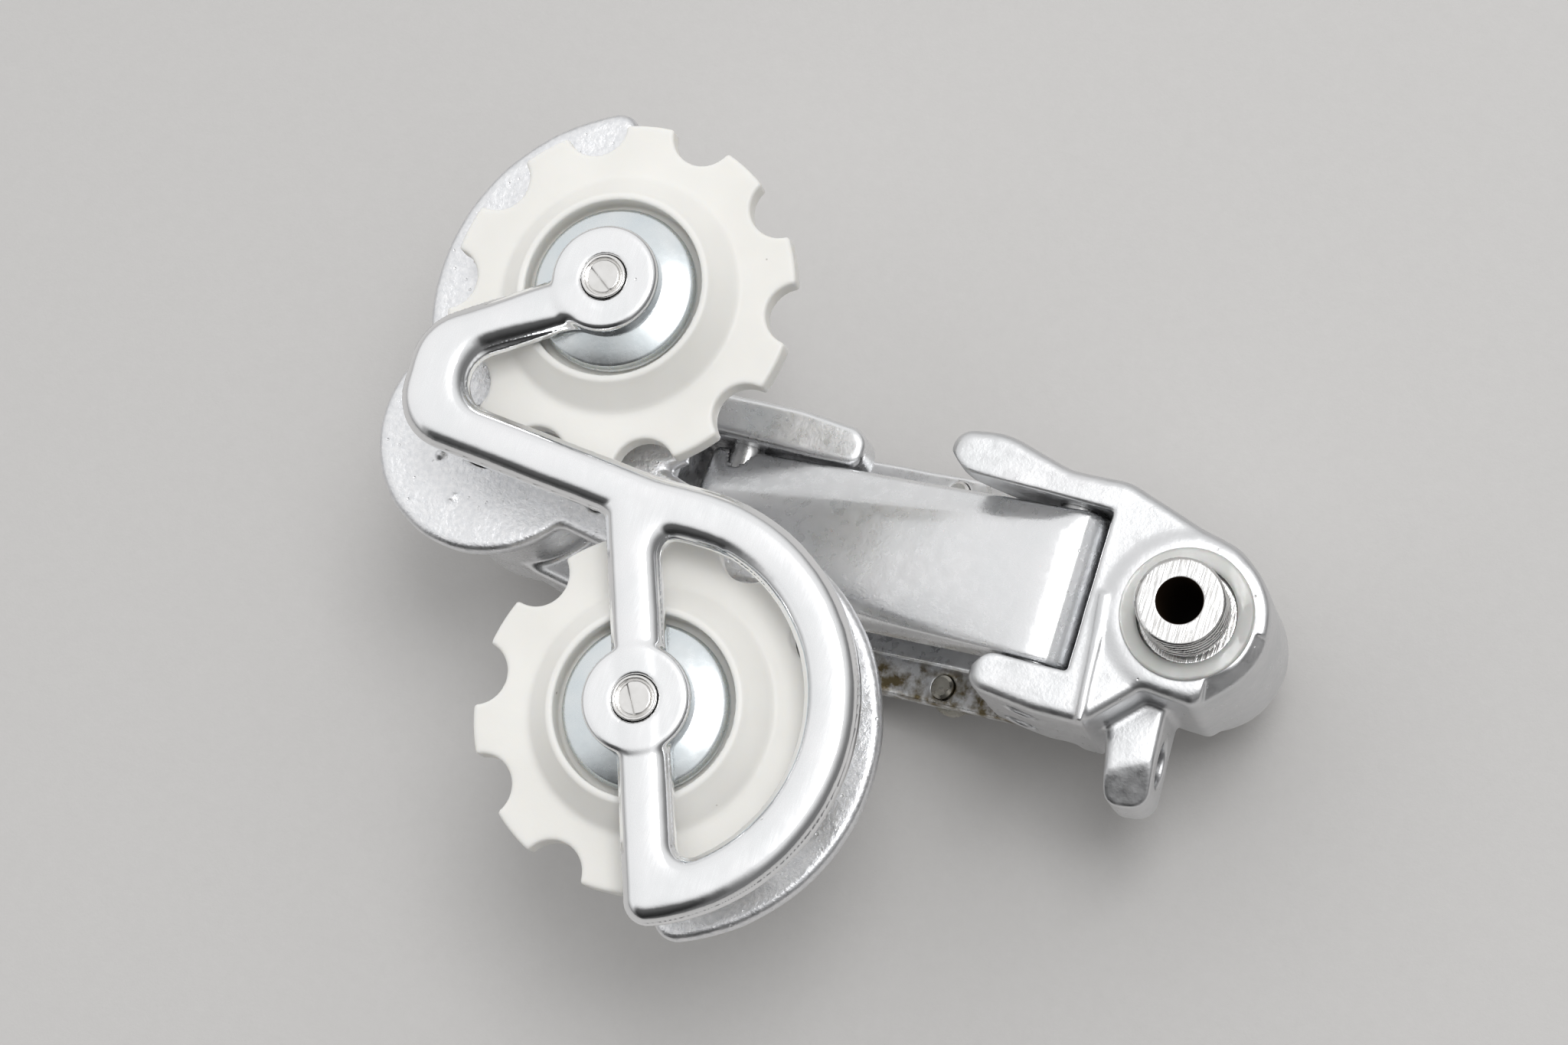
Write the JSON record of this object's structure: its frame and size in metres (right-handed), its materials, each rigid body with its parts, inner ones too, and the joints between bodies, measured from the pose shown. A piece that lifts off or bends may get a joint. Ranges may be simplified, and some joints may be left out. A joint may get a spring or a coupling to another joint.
{
  "type": "rear bicycle derailleur",
  "caption": "Rear derailleur: pivoted parallelogram on a hollow hanger bolt, swinging S-shaped cage with two toothed jockey pulleys.",
  "frame": {"origin": "on the mounting bolt's axis, at the inboard face of the mounting body that the nylon washer lies on", "axes": "+Z along the mounting bolt towards the wheel (inboard), +X up the parallelogram towards the bolt, +Y along the link pins towards the front of the bicycle"},
  "size_m": [0.1035, 0.0893, 0.0508],
  "materials": {
    "cast_aluminium": "bead-blasted and lightly polished casting",
    "cage_aluminium": "polished casting with fine brushing",
    "chromed_steel": "bright chrome plate",
    "bolt_steel": "bright nickel plate, sheared end",
    "pin_steel": "ground steel",
    "zinc_steel": "bluish bright zinc plate",
    "spring_steel": "oiled spring wire",
    "bronze": "sintered bronze, oiled",
    "pulley_nylon": "ivory moulded nylon, satin",
    "clear_nylon": "milky translucent nylon"
  },
  "bodies": {
    "hanger_side": {"mounting_bolt": "chromed_steel", "hanger_washer": "clear_nylon", "bolt_spring_washer": "spring_steel"},
    "upper_knuckle": {"mounting_body": "cast_aluminium", "upper_inner_pin": "pin_steel", "upper_outer_pin": "pin_steel"},
    "outer_link": {"outer_link": "cast_aluminium", "cable_clamp_washer": "zinc_steel", "cable_anchor_bolt": "chromed_steel", "return_spring": "spring_steel"},
    "low_limit_screw": {"low_limit_screw": "zinc_steel"},
    "high_limit_screw": {"high_limit_screw": "zinc_steel"},
    "inner_link": {"inner_link": "cast_aluminium"},
    "lower_knuckle": {"lower_knuckle": "cast_aluminium", "lower_inner_pin": "pin_steel", "lower_outer_pin": "pin_steel", "cage_spring": "spring_steel"},
    "cage": {"outer_cage_plate": "cage_aluminium", "inner_cage_plate": "cage_aluminium", "cage_pivot_bolt": "chromed_steel", "cage_stop_pin": "pin_steel", "guide_bolt": "bolt_steel", "guide_bush": "bronze", "guide_cap_inboard": "zinc_steel", "guide_cap_outboard": "zinc_steel", "tension_bolt": "bolt_steel", "tension_bush": "bronze", "tension_cap_inboard": "zinc_steel", "tension_cap_outboard": "zinc_steel"},
    "guide_pulley": {"guide_pulley": "pulley_nylon"},
    "tension_pulley": {"tension_pulley": "pulley_nylon"}
  },
  "joints": [
    {"name": "mount_swing", "type": "hinge", "parent": "hanger_side", "child": "upper_knuckle", "pos_m": [0, 0, 0], "axis": [0, 0, 1], "range_deg": [-25, 25]},
    {"name": "shift", "type": "hinge", "parent": "upper_knuckle", "child": "outer_link", "pos_m": [-0.017, 0, -0.0132], "axis": [0, 1, 0], "range_deg": [0, 41.5], "stiffness_Nm_per_rad": 0.12, "springref_deg": -34.38, "deforming": ["return_spring"]},
    {"name": "inner_link_swing", "type": "hinge", "parent": "upper_knuckle", "child": "inner_link", "pos_m": [-0.0156, 0, -0.0048], "axis": [0, 1, 0], "range_deg": [0, 41.5]},
    {"name": "lower_knuckle_swing", "type": "hinge", "parent": "outer_link", "child": "lower_knuckle", "pos_m": [-0.0594, 0, -0.02496], "axis": [0, 1, 0], "range_deg": [-41.5, 0]},
    {"name": "cage_swing", "type": "hinge", "parent": "lower_knuckle", "child": "cage", "pos_m": [-0.081, -0.0007, 0], "axis": [0, 0, -1], "range_deg": [0, 150], "stiffness_Nm_per_rad": 0.06, "springref_deg": -68.75, "deforming": ["cage_spring"]},
    {"name": "guide_spin", "type": "hinge", "parent": "cage", "child": "guide_pulley", "pos_m": [-0.0692, 0.017, 0.01], "axis": [0, 0, 1], "continuous": true},
    {"name": "tension_spin", "type": "hinge", "parent": "cage", "child": "tension_pulley", "pos_m": [-0.0512, -0.0269, 0.01], "axis": [0, 0, 1], "continuous": true},
    {"name": "low_limit_screw_turn", "type": "hinge", "parent": "outer_link", "child": "low_limit_screw", "pos_m": [-0.03377, 0.0114, -0.02231], "axis": [-0.2672, 0, 0.9636], "continuous": true},
    {"name": "high_limit_screw_turn", "type": "hinge", "parent": "outer_link", "child": "high_limit_screw", "pos_m": [-0.02857, -0.0114, -0.02087], "axis": [-0.2672, 0, 0.9636], "continuous": true}
  ],
  "couplings": [
    {"joint": "inner_link_swing", "follows": "shift", "ratio": 1},
    {"joint": "lower_knuckle_swing", "follows": "shift", "ratio": -1}
  ]
}
